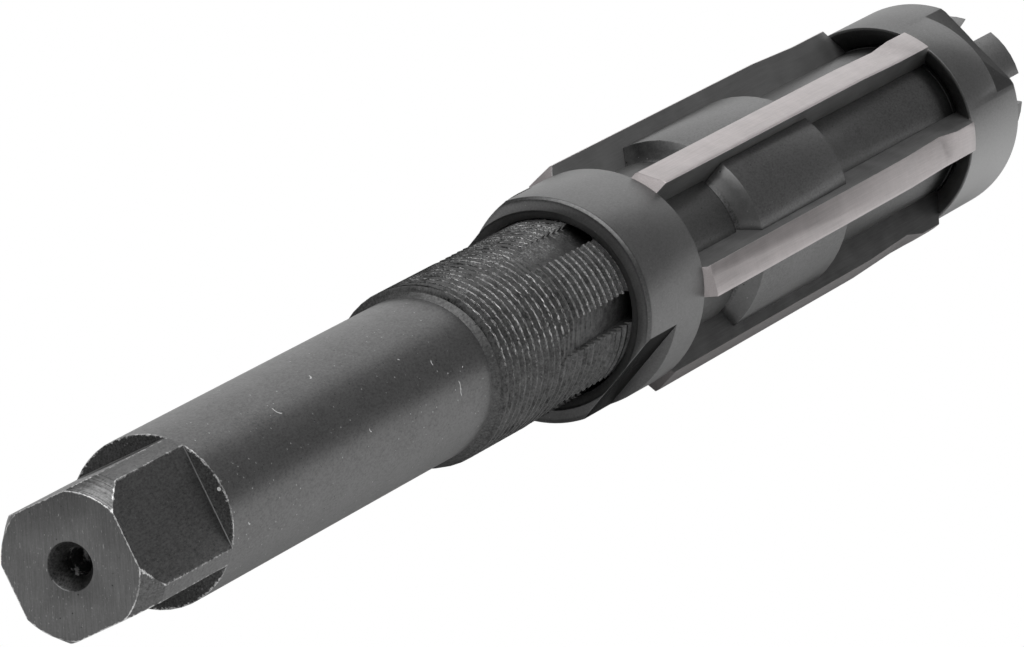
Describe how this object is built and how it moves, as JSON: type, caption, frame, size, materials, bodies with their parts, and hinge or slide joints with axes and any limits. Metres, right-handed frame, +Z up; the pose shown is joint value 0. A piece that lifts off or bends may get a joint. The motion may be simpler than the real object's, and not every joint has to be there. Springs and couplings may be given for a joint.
{
  "type": "adjustable hand reamer",
  "caption": "Adjustable hand reamer with a square-ended shank, a slotted threaded body and tapered inserted blades clamped between two nuts.",
  "frame": {"origin": "on the ground under the middle of the tool's length, below its axis, with the tool lying on its two nuts", "axes": "+X along the tool's axis from the drive square to the cutting end, +Z up, so the axis runs 12.65 mm above the origin"},
  "size_m": [0.2352, 0.0274, 0.0253],
  "materials": {
    "blackened_steel": "black oxide, semi-gloss",
    "nut_steel": "black oxide, satin",
    "ground_blade_steel": "ground bright"
  },
  "bodies": {
    "reamer_body": {"reamer_body": "blackened_steel"},
    "rear_nut": {"rear_nut": "nut_steel"},
    "front_nut": {"front_nut": "nut_steel"},
    "blade_1": {"blade_1": "ground_blade_steel"},
    "blade_2": {"blade_2": "ground_blade_steel"},
    "blade_3": {"blade_3": "ground_blade_steel"},
    "blade_4": {"blade_4": "ground_blade_steel"},
    "blade_5": {"blade_5": "ground_blade_steel"},
    "blade_6": {"blade_6": "ground_blade_steel"}
  },
  "joints": [
    {"name": "rear_nut_travel", "type": "slide", "parent": "reamer_body", "child": "rear_nut", "axis": [1, 0, 0], "range_m": [-0.00627, 0.00523]},
    {"name": "front_nut_travel", "type": "slide", "parent": "reamer_body", "child": "front_nut", "axis": [1, 0, 0], "range_m": [-0.006, 0.005]},
    {"name": "blade_1_slide", "type": "slide", "parent": "reamer_body", "child": "blade_1", "axis": [0.999, 0.0269, -0.0366], "range_m": [-0.0061, 0.0051]},
    {"name": "blade_2_slide", "type": "slide", "parent": "reamer_body", "child": "blade_2", "axis": [0.999, 0.0451, 0.005], "range_m": [-0.0061, 0.0051]},
    {"name": "blade_3_slide", "type": "slide", "parent": "reamer_body", "child": "blade_3", "axis": [0.999, 0.0183, 0.0416], "range_m": [-0.0061, 0.0051]},
    {"name": "blade_4_slide", "type": "slide", "parent": "reamer_body", "child": "blade_4", "axis": [0.999, -0.0269, 0.0366], "range_m": [-0.0061, 0.0051]},
    {"name": "blade_5_slide", "type": "slide", "parent": "reamer_body", "child": "blade_5", "axis": [0.999, -0.0451, -0.005], "range_m": [-0.0061, 0.0051]},
    {"name": "blade_6_slide", "type": "slide", "parent": "reamer_body", "child": "blade_6", "axis": [0.999, -0.0183, -0.0416], "range_m": [-0.0061, 0.0051]}
  ],
  "couplings": [
    {"joint": "front_nut_travel", "follows": "rear_nut_travel", "ratio": 0.91304},
    {"joint": "blade_1_slide", "follows": "rear_nut_travel", "ratio": 0.95751},
    {"joint": "blade_2_slide", "follows": "rear_nut_travel", "ratio": 0.95751},
    {"joint": "blade_3_slide", "follows": "rear_nut_travel", "ratio": 0.95751},
    {"joint": "blade_4_slide", "follows": "rear_nut_travel", "ratio": 0.95751},
    {"joint": "blade_5_slide", "follows": "rear_nut_travel", "ratio": 0.95751},
    {"joint": "blade_6_slide", "follows": "rear_nut_travel", "ratio": 0.95751}
  ]
}
